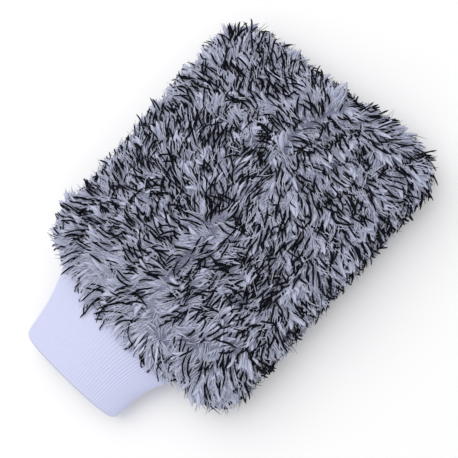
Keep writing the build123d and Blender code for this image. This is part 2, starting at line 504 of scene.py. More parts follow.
@dataclass
class Outline:
    """A rounded rectangle in plan, walked by arc length from the middle of the wrist side.

    Attributes:
        middle_x: the long middle line.
        half_width: from that line to either side.
        wrist_y, finger_y: the two ends.
        corner: the radius of the four corners.
        lean: how quickly the outward direction settles on the nearer side, well inside.
    """

    middle_x: float
    half_width: float
    wrist_y: float
    finger_y: float
    corner: float
    lean: float = 8.0

    def centre(self) -> Array:
        """The middle of the rectangle."""
        return np.array([self.middle_x, (self.wrist_y + self.finger_y) / 2])

    def distance(self, xy: Array) -> tuple[Array, Array]:
        """How far inside the outline each point is, and the outward direction there.

        The distance is that of a rounded box: the corner radius less the length of the part
        of the offset point beyond the inner box, with the inner box's own distance inside.
        Well inside, the direction is a blend of the two axes, each by a falling exponential of
        its side's distance.

        Args:
            xy: places in plan.

        Returns:
            The distances, less than 0 outside, and the directions.
        """
        half = np.array([self.half_width, (self.finger_y - self.wrist_y) / 2])
        offset = xy - self.centre()
        q = np.abs(offset) - (half - self.corner)
        beyond = np.maximum(q, 0.0)
        length = np.linalg.norm(beyond, axis=1)
        inside = self.corner - length - np.minimum(q.max(1), 0.0)
        soft = np.exp(-self.lean * np.maximum(half - np.abs(offset), 0.0) / half.min())
        outward = np.where(length[:, None] > 1e-9, beyond, soft) * np.sign(offset)
        return inside, unit(outward + 1e-9)

    def walk(self, count: int) -> tuple[Array, Array]:
        """Evenly spaced points along the outline, anticlockwise.

        Args:
            count: how many points.

        Returns:
            The points and their outward normals.
        """
        w, h, c = self.half_width, (self.finger_y - self.wrist_y) / 2, self.corner
        straight_x, straight_y, arc = 2 * (w - c), 2 * (h - c), math.pi * c / 2
        total = 2 * (straight_x + straight_y) + 4 * arc
        s = (np.arange(count) / count * total + straight_x / 2) % total
        points, normals = np.zeros((count, 2)), np.zeros((count, 2))
        start = 0.0
        corners = [(w - c, -(h - c)), (w - c, h - c), (-(w - c), h - c), (-(w - c), -(h - c))]
        for side in range(4):
            angle = -math.pi / 2 + side * math.pi / 2
            run = straight_x if side % 2 == 0 else straight_y
            out = np.array([math.cos(angle), math.sin(angle)])
            along = np.array([-out[1], out[0]])
            end = np.array(corners[side])
            on_run = (s >= start) & (s < start + run)
            points[on_run] = end + c * out + along * (s[on_run, None] - start - run)
            normals[on_run] = out
            start += run
            on_arc = (s >= start) & (s < start + arc)
            turn = angle + (s[on_arc] - start) / c
            ring = np.stack([np.cos(turn), np.sin(turn)], -1)
            points[on_arc] = end + c * ring
            normals[on_arc] = ring
            start += arc
        return points + self.centre(), normals


@dataclass
class Mouth:
    """The oval at the wrist end where the cuff is sewn in."""

    x: float
    y: float
    z: float
    half_width: float
    half_height: float

    def rise(self, x: Array, room: float) -> Array:
        """The oval's height above the seam plane: the half height times sqrt(1 - u^2).

        Args:
            x: places across the mitt, where u is their share of the half width.
            room: how much the oval is grown.

        Returns:
            The heights, which are 0 outside the oval.
        """
        share = np.clip(1.0 - ((x - self.x) / (self.half_width + room)) ** 2, 0.0, 1.0)
        return (self.half_height + room) * np.sqrt(share)


@dataclass
class Core:
    """One layer's depth of plush, between the ground cloth and the roots of its strands.

    Attributes:
        side: which layer it is.
        outline, mouth: the mitt's plan and the cuff's oval.
        seam_z: the height of the plane where the layers meet.
        crest: how far the flat part is from that plane.
        rim: how far in from the outline the flat part starts.
        cloth_half_width, cloth_wrist_y, cloth_finger_y: the ground cloth's plan.
        cloth_height, cloth_corner: its height off the seam plane and its corners' radius.
        seam_gap: the room between the two layers at the seam plane, for each.
        neck_room: the room between the neck of the mouth and the plush.
        neck_full, neck_end: how far in from the mouth the neck is whole, and where it ends.
        thinnest: the least depth of plush.
        dome: how much higher the middle of the upper layer is than its rim.
        lumps: the height of the tufts.
        long_lump, short_lump, short_share: the tufts' two wavelengths, and the second's share.
        pole: the size of the last ring, as a share of the flat part.
        columns, rim_rows, flat_rows: the grid.
    """

    side: Side
    outline: Outline
    mouth: Mouth
    seam_z: float
    crest: float
    rim: float
    cloth_half_width: float
    cloth_wrist_y: float
    cloth_finger_y: float
    cloth_height: float = 9.2 * MM
    cloth_corner: float = 20 * MM
    seam_gap: float = 0.15 * MM
    neck_room: float = 0.6 * MM
    neck_full: float = 10 * MM
    neck_end: float = 24 * MM
    thinnest: float = 0.3 * MM
    dome: float = 2.5 * MM
    lumps: float = 1.6 * MM
    long_lump: float = 38 * MM
    short_lump: float = 17 * MM
    short_share: float = 0.7
    pole: float = 0.002
    columns: int = 300
    rim_rows: int = 14
    flat_rows: int = 34

    def seam(self, xy: Array) -> Array:
        """The height at which the layer starts: the seam plane, or the oval at the mouth.

        Args:
            xy: places in plan.

        Returns:
            The heights.
        """
        front = smoothstep(self.mouth.y + self.neck_end, self.mouth.y + self.neck_full, xy[:, 1])
        lift = self.seam_gap + front * self.mouth.rise(xy[:, 0], self.neck_room)
        return self.seam_z + self.side.value * lift

    def cloth(self, xy: Array) -> Array:
        """The height of the ground cloth: a flat pillow with a round rim, and the neck.

        Args:
            xy: places in plan.

        Returns:
            The heights. The rim is a quarter circle of the distance inside the cloth's outline.
        """
        pillow = Outline(0.0, self.cloth_half_width, self.cloth_wrist_y, self.cloth_finger_y,
                         self.cloth_corner)
        inside, _ = pillow.distance(xy)
        share = np.clip(1.0 - inside / self.cloth_height, 0.0, 1.0)
        body = self.cloth_height * np.sqrt(1.0 - share**2) * (inside > 0)
        at_neck = xy[:, 1] < self.mouth.y + self.neck_end
        neck = self.mouth.rise(xy[:, 0], self.neck_room) * at_neck
        return self.seam_z + self.side.value * (self.seam_gap + np.maximum(body, neck))

    def surface(self) -> tuple[Array, int]:
        """The outer surface, ring by ring from the seam to the middle.

        Each rim row is the outline moved in by rim (1 - cos a) and raised by crest sin a, with a
        going from 0 to a right angle. Further in, rows shrink evenly towards the middle.

        Returns:
            The points, row by row, and the number of rows.
        """
        edge, out = self.outline.walk(self.columns)
        turn = np.linspace(0.0, math.pi / 2, self.rim_rows)
        rows = []
        for a in turn:
            xy = edge - out * self.rim * (1 - math.cos(a))
            low = self.seam(xy)
            top = self.seam_z + self.side.value * self.crest
            rows.append(np.column_stack([xy, low + (top - low) * math.sin(a)]))
        last = rows[-1][:, :2]
        middle = self.outline.centre()
        for share in np.linspace(1.0, self.pole, self.flat_rows + 1)[1:]:
            xy = middle + (last - middle) * share
            height = self.side.value * self.crest + (1 - share**2) * self.bulge()
            rows.append(np.column_stack([xy, np.full(self.columns, self.seam_z + height)]))
        points = np.concatenate(rows)
        points[:, 2] += self.lump(points)
        return points, len(rows)

    def bulge(self) -> float:
        """How much higher the middle of the layer is than its rim: the lower one is flat."""
        return self.dome if self.side is Side.TOP else 0.0

    def lump(self, points: Array) -> Array:
        """The height of tufts: long and short ripples, only on the upper layer.

        Args:
            points: positions on the core's outside.

        Returns:
            How far each is raised.
        """
        if self.side is Side.BOTTOM:
            return np.zeros(len(points))
        rise = smoothstep(self.seam_z + 4 * MM, self.seam_z + self.crest, points[:, 2])
        both = ripple(points, self.long_lump, 1) + self.short_share * ripple(points, self.short_lump, 2)
        return self.lumps * rise * both

    def build(self, name: str, material: bpy.types.Material) -> bpy.types.Object:
        """Close the outer surface with an inner one that follows the ground cloth.

        Args:
            name: the piece's name.
            material: its finish.

        Returns:
            The finished piece.
        """
        outer, rows = self.surface()
        inner = outer.copy()
        inner[:, 2] = self.cloth(outer[:, :2])
        thin = self.side.value * (outer[:, 2] - inner[:, 2]) < self.thinnest
        inner[thin, 2] = outer[thin, 2] - self.side.value * self.thinnest
        inner[: self.columns] = outer[: self.columns]
        faces = grid_faces(rows, self.columns, True)
        pole = np.arange(self.columns) + (rows - 1) * self.columns
        count = len(outer)
        below = faces + count
        below[faces < self.columns] = faces[faces < self.columns]
        caps = [faces, below[:, ::-1], pole[None, :], (pole + count)[None, ::-1]]
        if self.side is Side.BOTTOM:
            caps = [cap[:, ::-1] for cap in caps]
        points = np.concatenate([outer, inner])
        piece = make_mesh(name, points, caps)
        piece.data.materials.append(material)
        log.info("%s: depth of plush, %d rings of %d points", name, rows, self.columns)
        return piece


@dataclass
class Roots:
    """Where strands leave the plush: positions and outward directions."""

    points: Array
    normals: Array


def scatter(points: Array, rows: int, columns: int, spacing: float, rng: np.random.Generator,
            even: bool) -> Roots:
    """Spread roots over a grid surface, about one in each square of the given spacing.

    Each face gets a share of the roots by its area, and a root is a random mix of its corners.
    Where they must be even, several times as many are tried and each cell keeps one. A cell is
    a little taller than it is wide, because a rim is steep.

    Args:
        points: the grid's points, row by row.
        rows: how many rows.
        columns: how many points in a row, which closes on itself.
        spacing: the distance between roots.
        rng: the source of chance.
        even: whether roots keep their distance.

    Returns:
        The roots.
    """
    faces = grid_faces(rows, columns, True)
    a, b, c, d = (points[faces[:, i]] for i in range(4))
    normals = np.cross(c - a, d - b)
    area = np.linalg.norm(normals, axis=1) / 2
    tries = 6 if even else 1
    count = int(area.sum() / spacing**2) * tries
    place_in_area = (np.arange(count) + rng.random(count)) / count
    pick = np.searchsorted(np.cumsum(area) / area.sum(), place_in_area)
    pick = np.minimum(pick, len(faces) - 1)
    u, v = rng.random((2, count, 1))
    place = (a[pick] * (1 - u) + b[pick] * u) * (1 - v) + (d[pick] * (1 - u) + c[pick] * u) * v
    if even:
        cell_shape = np.array([1.0, 1.0, 1.4])
        cells = np.floor(place / (cell_shape * spacing)).astype(np.int64)
        _, first = np.unique(cells, axis=0, return_index=True)
        place, pick = place[first], pick[first]
    return Roots(place, unit(normals[pick]))


@dataclass(frozen=True)
class Layer:
    """One of the mitt's two layers: its name, its depth, its rim and what its strands lie on."""

    side: Side
    name: str
    crest: float
    rim: float
    floor: float


class Zone(Enum):
    """Where on a layer a kind of strand grows."""

    ALL = "all"
    MOUTH = "mouth"
    EDGE = "edge"


@dataclass(frozen=True)
class StrandKind:
    """How one sort of strand looks: its size, its bend and how it bunches.

    Attributes:
        name: the name its pieces get.
        finish: what it is made of.
        spacing: the distance between roots on the upper layer.
        length, width: its least and greatest.
        flatness: its thickness as a share of its width.
        sides, spans: the corners round it and the steps along it.
        raised: how far off the core's surface it starts.
        lift, end_lift: its angles off the surface at the root and at the tip.
        curl: how far it turns sideways by chance, shared in a bunch.
        wave: how far it waves from side to side.
        stray: how far its heading strays from its tuft's.
        bunch, gap: how many grow side by side, and how far apart.
        patchy: the share that is missing in slow ripples.
        shy: the share that is missing near the wrist and in rosettes.
        bend: how far all of them turn sideways.
        blunt: the share of its length that is its tip.
        ridge: how deep the grooves along it are, as a share of its radius.
        even: whether roots keep their distance.
        zone: where it grows.
    """

    name: str
    finish: StrandFinish
    spacing: float
    length: tuple[float, float]
    width: tuple[float, float]
    flatness: float
    sides: int
    spans: int
    raised: float
    lift: float
    end_lift: float
    curl: float
    wave: float
    stray: float
    bunch: tuple[int, int] = (1, 1)
    gap: float = 2.0 * MM
    patchy: float = 0.0
    shy: float = 0.0
    bend: float = 0.0
    blunt: float = 0.25
    ridge: float = 0.0
    even: bool = False
    zone: Zone = Zone.ALL


@dataclass(frozen=True)
class Stroke:
    """One sweep of a hand over the plush: where it passed, and the heading of the pile there."""

    x: float
    y: float
    heading: float


@dataclass(frozen=True)
class Rosette:
    """A spot where the pile parts and falls away on all sides, showing its light side."""

    x: float
    y: float
    reach: float


@dataclass
class Plush:
    """The strands of both layers.

    Attributes:
        outline, mouth: the mitt's plan and the cuff's oval.
        strokes, rosettes: how the pile lies.
        stroke_reach: how far a stroke is felt.
        spine_x, spine_ends: the line that tips point away from.
        rosette_pull: how strongly a rosette turns the pile.
        rim_pull, rim_reach: how strongly the outline turns it outwards, and how far in.
        rim_fall: how far it then points down where the surface is steep.
        mouth_band: how far in from the mouth the pile starts to slant, and slants fully.
        mouth_ease: how much less the outline pulls at the mouth.
        mouth_slant: how far the pile slants to the far side over the cuff.
        tuft, tuft_turn: a tuft's size, and how far tufts differ in heading.
        tip_crowding: above 1, the steps of a strand crowd towards its tip.
        root_jitter: how far roots stray along their own heading.
        droop: how far a strand on a steep rim falls, as a share of its length.
        wrist_band, wrist_side: how far in from the mouth the wrist's lighter pile starts and is
            full, and the same across, as shares of the mouth's half width.
        corner_band, corner_side: the same for the short pile at the far corner, in metres.
        extra_over_cuff, cut_at_corner: how much longer and shorter the pile is there.
        fringe_depth, fringe_rise: how far in from the mouth the fringe's roots reach, and how far
            above the seam plane they start.
        fringe_shift, fringe_margin: the fringe's middle from the mouth's, and its room at the ends.
        patch: the distance from one patch of thinner pile to the next.
        edge_band: how far in from the outline the edge's zone reaches.
        lower_spacing: how much wider apart the lower layer's roots are.
        table_gap: the least height of any point.
        cuff_fall: how fast the cuff's top goes down towards the wrist.
        chunk: the most triangles in a piece.
    """

    outline: Outline
    mouth: Mouth
    strokes: tuple[Stroke, ...]
    rosettes: tuple[Rosette, ...]
    stroke_reach: float = 22 * MM
    spine_x: float = 12 * MM
    spine_ends: tuple[float, float] = (-52 * MM, 100 * MM)
    rosette_pull: float = 1.5
    rim_pull: float = 2.4
    rim_reach: float = 9 * MM
    rim_fall: float = 0.45
    mouth_band: tuple[float, float] = (16 * MM, 4 * MM)
    mouth_ease: float = 0.4
    mouth_slant: float = 0.75
    tuft: float = 8.0 * MM
    tuft_turn: float = 1.1
    tip_crowding: float = 1.6
    root_jitter: float = 1.2 * MM
    droop: float = 0.35
    wrist_band: tuple[float, float] = (46 * MM, 12 * MM)
    wrist_side: tuple[float, float] = (1.15, 0.75)
    corner_band: tuple[float, float] = (16 * MM, 2 * MM)
    corner_side: tuple[float, float] = (18 * MM, 52 * MM)
    extra_over_cuff: float = 0.30
    cut_at_corner: float = 0.45
    fringe_depth: float = 12 * MM
    fringe_rise: float = 6 * MM
    fringe_shift: float = 3 * MM
    fringe_margin: float = 12 * MM
    patch: float = 36 * MM
    edge_band: float = 7 * MM
    lower_spacing: float = 1.45
    table_gap: float = 0.1 * MM
    cuff_fall: float = 0.115
    chunk: int = 190_000

    def combed(self, xy: Array) -> Array:
        """The direction in plan that the strokes have left, at each point.

        Headings are averaged as doubled angles, with a bell-shaped weight for each stroke's
        distance, and the end that points away from the mitt's long middle line is the tip.

        Args:
            xy: places in plan.

        Returns:
            A direction of length 1 for each.
        """
        at = np.array([(s.x, s.y) for s in self.strokes])
        heading = np.radians([s.heading for s in self.strokes])
        far = ((xy[:, None] - at) ** 2).sum(-1) / (2 * self.stroke_reach**2)
        weight = np.exp(-(far - far.min(1, keepdims=True)))
        angle = 0.5 * np.arctan2(weight @ np.sin(2 * heading), weight @ np.cos(2 * heading))
        way = np.stack([np.cos(angle), np.sin(angle)], -1)
        spine = np.stack([np.full(len(xy), self.spine_x), np.clip(xy[:, 1], *self.spine_ends)], -1)
        tip = ((xy - spine) * way).sum(1) < 0
        return np.where(tip[:, None], -way, way)

    def flow(self, points: Array, normals: Array, tuft_middle: Array) -> Array:
        """The direction that strands lie in, laid into the surface.

        It is the combed direction at the tuft, turned away from the middle of a near rosette,
        outwards near the outline, and slantwise over the cuff near the mouth. A rosette's pull
        falls as a bell of the distance, and the outline's as an exponential.

        Args:
            points: the roots.
            normals: the outward directions there.
            tuft_middle: the middle of each root's tuft.

        Returns:
            A direction of length 1 for each root.
        """
        inside, outward = self.outline.distance(points[:, :2])
        way = np.column_stack([self.combed(tuft_middle[:, :2]), np.zeros(len(points))])
        at_mouth = (self.near_mouth(points, *self.mouth_band)
                    * (np.abs(points[:, 0] - self.mouth.x) < self.mouth.half_width))
        for spot in self.rosettes:
            away = points[:, :2] - (spot.x, spot.y)
            bell = np.exp(-(away**2).sum(1) / (2 * spot.reach**2))
            strength = self.rosette_pull * (1 - at_mouth) * bell
            way[:, :2] += strength[:, None] * unit(away)
        near_rim = np.exp(-np.maximum(inside, 0.0) / self.rim_reach)
        pull = (self.rim_pull - self.mouth_ease * at_mouth) * near_rim
        slanted = outward - at_mouth[:, None] * (self.mouth_slant, 0.0)
        fall = -self.rim_fall * (1 - np.abs(normals[:, 2]))
        way += pull[:, None] * np.column_stack([slanted, fall])
        way -= normals * (way * normals).sum(1, keepdims=True)
        return unit(way)

    def tufts(self, points: Array) -> tuple[Array, Array]:
        """The nearest tuft to each root.

        Tufts are one to a cell of a cubic grid, moved about inside it, and a root looks for the
        nearest among its own cell and the 26 around it.

        Args:
            points: the roots.

        Returns:
            The tufts' middles, and the cells that number them.
        """
        own = np.floor(points / self.tuft).astype(np.int64)
        best = np.full(len(points), np.inf)
        middle, cell = np.zeros_like(points), own.copy()
        for step in np.ndindex(3, 3, 3):
            near = own + np.array(step) - 1
            place = (near + np.stack([hashed(near, k) for k in range(3)], -1)) * self.tuft
            gap = np.linalg.norm(points - place, axis=1)
            closer = gap < best
            best[closer], middle[closer], cell[closer] = gap[closer], place[closer], near[closer]
        return middle, cell

    def near_mouth(self, points: Array, start: float, full: float) -> Array:
        """From 0 at start to 1 at full, both measured along the mitt from the mouth inwards."""
        return smoothstep(self.mouth.y + start, self.mouth.y + full, points[:, 1])

    def near_wrist(self, points: Array) -> Array:
        """From 0 over most of the mitt to 1 along the wrist, where the pile is lighter."""
        across = (points[:, 0] - self.mouth.x) / self.mouth.half_width
        outer, inner = self.wrist_side
        return self.near_mouth(points, *self.wrist_band) * smoothstep(-outer, -inner, across)

    def over_cuff(self, points: Array) -> Array:
        """From 0 to 1 at the mouth, where the pile is longer."""
        across = np.abs(points[:, 0] - self.mouth.x) / self.mouth.half_width
        return self.near_wrist(points) * smoothstep(*self.wrist_side, across)

    def far_corner(self, points: Array) -> Array:
        """From 0 to 1 at the wrist's far corner, where short pile shows the cuff's root."""
        start, full = self.corner_side
        far_side = smoothstep(self.mouth.x - start, self.mouth.x - full, points[:, 0])
        return self.near_mouth(points, *self.corner_band) * far_side

    def thinned(self, kind: StrandKind, points: Array, rng: np.random.Generator) -> Array:
        """Which roots to keep.

        They are those in the kind's zone, with fewer in slow ripples as the kind is patchy, and
        fewer near the wrist and inside rosettes as it is shy.

        Args:
            kind: the sort of strand.
            points: the roots.
            rng: the source of chance.

        Returns:
            True for each root that is kept.
        """
        inside, _ = self.outline.distance(points[:, :2])
        across = np.abs(points[:, 0] - self.mouth.x - self.fringe_shift)
        at_mouth = ((points[:, 1] < self.mouth.y + self.fringe_depth)
                    & (points[:, 2] > self.mouth.z + self.fringe_rise)
                    & (across < self.mouth.half_width - self.fringe_margin))
        if kind.zone is Zone.MOUTH:
            return at_mouth
        if kind.zone is Zone.EDGE:
            return (inside < self.edge_band) & ~at_mouth
        gone = kind.patchy * smoothstep(0.1, 1.3, ripple(points, self.patch, 21))
        gone = np.maximum(gone, kind.shy * self.near_wrist(points))
        for spot in self.rosettes:
            away = ((points[:, :2] - (spot.x, spot.y)) ** 2).sum(1)
            gone = np.maximum(gone, kind.shy * np.exp(-away / (0.5 * spot.reach**2)))
        return rng.random(len(points)) > gone

    def strands(self, kind: StrandKind, roots: Roots, rng: np.random.Generator,
                floor: float) -> tuple[Array, Array, Array]:
        """The middle lines of the strands.

        Each root grows a bunch side by side, which shares its heading, curl and length. A strand
        leaves at an angle of lift and bends to end_lift, while it turns sideways by its curl and
        waves from side to side. Its steps crowd towards the tip, so that the tip is round. On
        the rims it droops by a share of its length, and it lies on the floor or on the cuff
        where it reaches them.

        Args:
            kind: the sort of strand.
            roots: where they grow.
            rng: the source of chance.
            floor: the height that this layer's strands lie on.

        Returns:
            Lines (strand, step, 3), their sideways directions and their widths.
        """
        middle, cell = self.tufts(roots.points)
        way = self.flow(roots.points, roots.normals, middle)
        each = rng.integers(kind.bunch[0], kind.bunch[1] + 1, len(way))
        owner = np.repeat(np.arange(len(way)), each)
        first = np.repeat(np.cumsum(each) - each, each)
        place_in = np.arange(len(owner)) - first - (each[owner] - 1) / 2
        twist = (hashed(cell, 4) - 0.5) * self.tuft_turn + rng.normal(0, kind.stray, len(way))
        shared = rng.normal(size=(4, len(way)))[:, owner]
        count = len(owner)
        p, n, way, twist = roots.points[owner], roots.normals[owner], way[owner], twist[owner]
        side = np.cross(n, way)
        twist += rng.normal(0, 0.08, count)
        way, side = (way * np.cos(twist)[:, None] + side * np.sin(twist)[:, None],
                     side * np.cos(twist)[:, None] - way * np.sin(twist)[:, None])
        p = p + side * (place_in * kind.gap * rng.uniform(0.8, 1.25, count))[:, None]
        p = p + way * rng.normal(0, self.root_jitter, count)[:, None]
        spread = (np.array(kind.length) - np.mean(kind.length)) @ [-0.5, 0.5]
        varied = np.clip(0.8 * shared[0] + 0.4 * rng.normal(size=count), -1.6, 1.6)
        length = np.mean(kind.length) + spread * varied
        length *= (1.0 + self.extra_over_cuff * self.over_cuff(p)
                   - self.cut_at_corner * self.far_corner(p))
        t = 1.0 - (1.0 - np.linspace(0.0, 1.0, kind.spans + 1)) ** self.tip_crowding
        lift = kind.lift + 0.10 * shared[1] + rng.normal(0, 0.05, count)
        end = kind.end_lift + 0.12 * shared[2] + rng.normal(0, 0.08, count)
        rise = end[:, None] + (lift - end)[:, None] * (1 - t) ** 1.5
        turn = (kind.bend + kind.curl * (shared[3] + rng.normal(0, 0.25, count)))[:, None] * t
        heading = (way[:, None] * (np.cos(rise) * np.cos(turn))[..., None]
                   + side[:, None] * (np.cos(rise) * np.sin(turn))[..., None]
                   + n[:, None] * np.sin(rise)[..., None])
        moves = heading[:, 1:] * np.diff(t)[:, None] * length[:, None, None]
        line = np.cumsum(np.concatenate([(p + n * kind.raised)[:, None], moves], 1), axis=1)
        turns, phase = rng.uniform(3, 6, count), rng.uniform(0, 6.3, count)
        wave = np.sin(t * turns[:, None] + phase[:, None]) * t
        line += side[:, None] * (wave * kind.wave)[..., None]
        droop = (1 - np.abs(n[:, 2])) * length * self.droop
        line[..., 2] -= droop[:, None] * t**2
        width = rng.uniform(*kind.width, count)[:, None] * self.taper(kind, t)
        line[..., 2] = self.rest(line, width * kind.flatness / 2, floor)
        return line, side, width

    def taper(self, kind: StrandKind, t: Array) -> Array:
        """The share of its full width that a strand has at each t.

        It grows as a square root over the first eighth and shrinks as one over the tip.

        Args:
            kind: the sort of strand, whose blunt is the share of its length that is tip.
            t: shares of the strand's length.

        Returns:
            The shares of the width.
        """
        root = np.sqrt(np.clip(t / 0.12, 0.08, 1.0))
        tip = np.sqrt(np.clip((1.0 - t) / kind.blunt, 0.06, 1.0))
        return root * tip

    def rest(self, line: Array, half: Array, floor: float) -> Array:
        """Lay the lines on the floor, or on the cuff where they pass over it.

        Args:
            line: the strands' lines.
            half: half the thickness of each strand at each step.
            floor: the height that they lie on.

        Returns:
            The new heights.
        """
        z = line[..., 2]
        over = self.mouth.y - line[..., 1]
        top = (self.mouth.z + self.mouth.rise(line[..., 0], 1.5 * MM)
               - np.clip(over, 0, 30 * MM) * self.cuff_fall)
        hangs = smoothstep(-4 * MM, 4 * MM, over) * (z > self.mouth.z + 1 * MM)
        lifted = np.maximum(z, (top + half) * hangs + z * (1 - hangs))
        return np.maximum(lifted, floor + half)

    def tubes(self, name: str, lines: tuple[Array, Array, Array], kind: StrandKind,
              material: bpy.types.Material, rng: np.random.Generator) -> bpy.types.Object:
        """Tubes along the lines, closed at both ends.

        A ring has its corners evenly round it, the first on top, wide along the sideways
        direction and flatter across it. Where a kind has ridges, each corner keeps its own
        share of the radius all along the strand, so that it is grooved like a lock of hair.

        Args:
            name: the piece's name.
            lines: the strands' lines, sideways directions and widths.
            kind: the sort of strand.
            material: its finish.
            rng: the source of chance.

        Returns:
            The finished piece.
        """
        line, side, width = lines
        count, steps = line.shape[:2]
        sides = kind.sides
        along = unit(np.gradient(line, axis=1))
        across = unit(side[:, None] - along * (side[:, None] * along).sum(-1, keepdims=True))
        up = np.cross(along, across)
        a = math.pi / 2 + np.arange(sides) * 2 * math.pi / sides
        radius = 0.5 * (1 + kind.ridge * rng.uniform(-1, 1, (count, 1, sides, 1)))
        ring = (across[:, :, None] * np.cos(a)[:, None]
                + up[:, :, None] * (np.sin(a) * kind.flatness)[:, None])
        points = (line[:, :, None] + ring * radius * width[:, :, None, None]).reshape(-1, 3)
        points[:, 2] = np.maximum(points[:, 2], self.table_gap)
        quads = grid_faces(steps, sides, True)
        base = (np.arange(count) * steps * sides)[:, None, None]
        tube = (quads[None] + base).reshape(-1, 4)
        corners = np.arange(sides)
        ends = np.array([corners[::-1], corners + (steps - 1) * sides])
        caps = (ends[None] + base).reshape(-1, sides)
        variant = rng.integers(0, LOCK_VARIANTS, count)[:, None, None]
        around = (quads % sides) / sides
        around[:, 1:3] = np.where(around[:, 1:3] < around[:, :1], 1.0, around[:, 1:3])
        v = (quads // sides) / (steps - 1)
        tube_uv = np.stack([(variant + around[None]) / LOCK_VARIANTS,
                            np.broadcast_to(v[None], (count, *quads.shape))], -1)
        cap_v = np.broadcast_to(np.array([[0.0] * sides, [1.0] * sides])[None], (count, 2, sides))
        cap_u = np.broadcast_to((variant + 0.5) / LOCK_VARIANTS, (count, 2, sides))
        cap_uv = np.stack([cap_u, cap_v], -1)
        piece = make_mesh(name, points, [tube, caps], [tube_uv, cap_uv], STRAND_MAP)
        piece.data.materials.append(material)
        return piece

    def grow(self, kind: StrandKind, layer: Layer, surface: tuple[Array, int], columns: int,
             material: bpy.types.Material, seed: int) -> list[bpy.types.Object]:
        """Grow one kind of strand over one layer, split along Y into pieces of a fair size.

        Args:
            kind: the sort of strand.
            layer: which layer it grows on.
            surface: the core's outer points and its number of rows.
            columns: how many points are in a row.
            material: its finish.
            seed: the start of its chance numbers.

        Returns:
            The pieces, from the wrist end to the finger end.
        """
        rng = np.random.default_rng(seed)
        looser = 1.0 if layer.side is Side.TOP else self.lower_spacing
        roots = scatter(surface[0], surface[1], columns, kind.spacing * looser, rng, kind.even)
        keep = self.thinned(kind, roots.points, rng)
        order = np.argsort(roots.points[:, 1])
        order = order[keep[order]]
        roots = Roots(roots.points[order], roots.normals[order])
        lines = self.strands(kind, roots, rng, layer.floor)
        count = len(lines[0])
        each = kind.spans * kind.sides * 2 + 2 * (kind.sides - 2)
        parts = max(1, math.ceil(count * each / self.chunk))
        pieces = []
        for index, part in enumerate(np.array_split(np.arange(count), parts)):
            name = f"{layer.name}_{kind.name}_{index + 1}"
            chosen = tuple(values[part] for values in lines)
            pieces.append(self.tubes(name, chosen, kind, material, rng))
            log.info("%s: %d strands, %d triangles", name, len(part), len(part) * each)
        return pieces


# ---------------------------------------------------------------- the cuff


